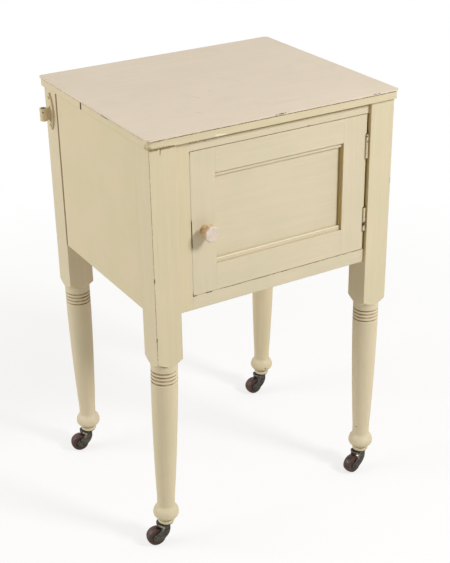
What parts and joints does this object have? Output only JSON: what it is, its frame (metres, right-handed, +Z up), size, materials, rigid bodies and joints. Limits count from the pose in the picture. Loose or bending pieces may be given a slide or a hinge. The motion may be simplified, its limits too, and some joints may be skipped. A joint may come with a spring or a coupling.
{
  "type": "bedside pot cupboard",
  "caption": "Painted wooden bedside cupboard on turned legs with castors, with a panelled door, a turn catch and a pole socket on one rear post.",
  "frame": {"origin": "under the middle of the bounding box, on the floor", "axes": "+Z up, the door faces -Y, +X to the right of someone facing the door"},
  "size_m": [0.486, 0.4172, 0.757],
  "materials": {
    "top_cover": "worn satin sheet, pinkish beige",
    "paint_edge": "cream brush paint on wood",
    "paint_post": "cream brush paint on wood",
    "paint_side": "cream brush paint on wood",
    "paint_frame": "cream brush paint on wood",
    "paint_door": "cream brush paint on wood",
    "paint_moulding": "cream brush paint on wood",
    "inside_wood": "bare aged softwood",
    "paint_bracket": "painted over cast iron",
    "paint_hinge": "painted over steel",
    "pin_steel": "dull steel",
    "knob_white": "glossy pinkish white",
    "old_brass": "dull brown brass",
    "castor_iron": "dark worn iron",
    "castor_tread": "dark brown, worn"
  },
  "bodies": {
    "cupboard": {"top_sheet": "top_cover", "top_board": "paint_edge", "leg_front_left": "paint_post", "leg_front_right": "paint_post", "leg_rear_left": "paint_post", "leg_rear_right": "paint_post", "side_panel_left": "paint_side", "side_panel_right": "paint_side", "back_panel": "inside_wood", "floor_board": "inside_wood", "front_top_rail": "paint_frame", "front_bottom_rail": "paint_frame", "closing_stile": "paint_frame", "rear_top_rail": "inside_wood", "rear_bottom_rail": "inside_wood", "floor_bearer_left": "inside_wood", "floor_bearer_right": "inside_wood", "top_cleat_left": "inside_wood", "top_cleat_right": "inside_wood", "door_stop": "inside_wood", "pole_bracket": "paint_bracket", "hinge_post_leaf_upper": "paint_hinge", "hinge_post_leaf_lower": "paint_hinge", "hinge_pin_upper": "pin_steel", "hinge_pin_lower": "pin_steel", "castor_socket_front_left": "castor_iron", "castor_socket_front_right": "castor_iron", "castor_socket_rear_left": "castor_iron", "castor_socket_rear_right": "castor_iron"},
    "door": {"hinge_door_leaf_upper": "paint_hinge", "hinge_door_leaf_lower": "paint_hinge", "door_lock_stile": "paint_door", "door_hinge_stile": "paint_door", "door_top_rail": "paint_door", "door_bottom_rail": "paint_door", "door_panel": "paint_door", "moulding_top": "paint_moulding", "moulding_bottom": "paint_moulding", "moulding_left": "paint_moulding", "moulding_right": "paint_moulding", "knob_rose": "paint_hinge"},
    "catch": {"knob": "knob_white", "knob_spindle": "old_brass", "catch_tongue": "old_brass"},
    "castor_front_left": {"castor_horn_front_left": "castor_iron", "castor_axle_front_left": "castor_iron"},
    "castor_front_right": {"castor_horn_front_right": "castor_iron", "castor_axle_front_right": "castor_iron"},
    "castor_rear_left": {"castor_horn_rear_left": "castor_iron", "castor_axle_rear_left": "castor_iron"},
    "castor_rear_right": {"castor_horn_rear_right": "castor_iron", "castor_axle_rear_right": "castor_iron"},
    "wheel_front_left": {"castor_wheel_front_left": "castor_tread"},
    "wheel_front_right": {"castor_wheel_front_right": "castor_tread"},
    "wheel_rear_left": {"castor_wheel_rear_left": "castor_tread"},
    "wheel_rear_right": {"castor_wheel_rear_right": "castor_tread"}
  },
  "joints": [
    {"name": "door_hinge", "type": "hinge", "parent": "cupboard", "child": "door", "pos_m": [0.1871, -0.1848, 0.6], "axis": [0, 0, 1], "range_deg": [0, 110]},
    {"name": "catch_turn", "type": "hinge", "parent": "door", "child": "catch", "pos_m": [-0.1262, -0.1836, 0.588], "axis": [0, 1, 0], "range_deg": [0, 90]},
    {"name": "castor_swivel_front_left", "type": "hinge", "parent": "cupboard", "child": "castor_front_left", "pos_m": [-0.2065, -0.1662, 0.044], "axis": [0, 0, 1], "continuous": true},
    {"name": "castor_swivel_front_right", "type": "hinge", "parent": "cupboard", "child": "castor_front_right", "pos_m": [0.215, -0.1662, 0.044], "axis": [0, 0, 1], "continuous": true},
    {"name": "castor_swivel_rear_left", "type": "hinge", "parent": "cupboard", "child": "castor_rear_left", "pos_m": [-0.1965, 0.1748, 0.044], "axis": [0, 0, 1], "continuous": true},
    {"name": "castor_swivel_rear_right", "type": "hinge", "parent": "cupboard", "child": "castor_rear_right", "pos_m": [0.209, 0.1748, 0.044], "axis": [0, 0, 1], "continuous": true},
    {"name": "wheel_spin_front_left", "type": "hinge", "parent": "castor_front_left", "child": "wheel_front_left", "pos_m": [-0.22675, -0.16299, 0.017], "axis": [0.1564, 0.9877, 0], "continuous": true},
    {"name": "wheel_spin_front_right", "type": "hinge", "parent": "castor_front_right", "child": "wheel_front_right", "pos_m": [0.19475, -0.16941, 0.017], "axis": [-0.1564, 0.9877, 0], "continuous": true},
    {"name": "wheel_spin_rear_left", "type": "hinge", "parent": "castor_rear_left", "child": "wheel_rear_left", "pos_m": [-0.2168, 0.17765, 0.017], "axis": [0.1392, 0.9903, 0], "continuous": true},
    {"name": "wheel_spin_rear_right", "type": "hinge", "parent": "castor_rear_right", "child": "wheel_rear_right", "pos_m": [0.1885, 0.1748, 0.017], "axis": [0, 1, 0], "continuous": true}
  ]
}
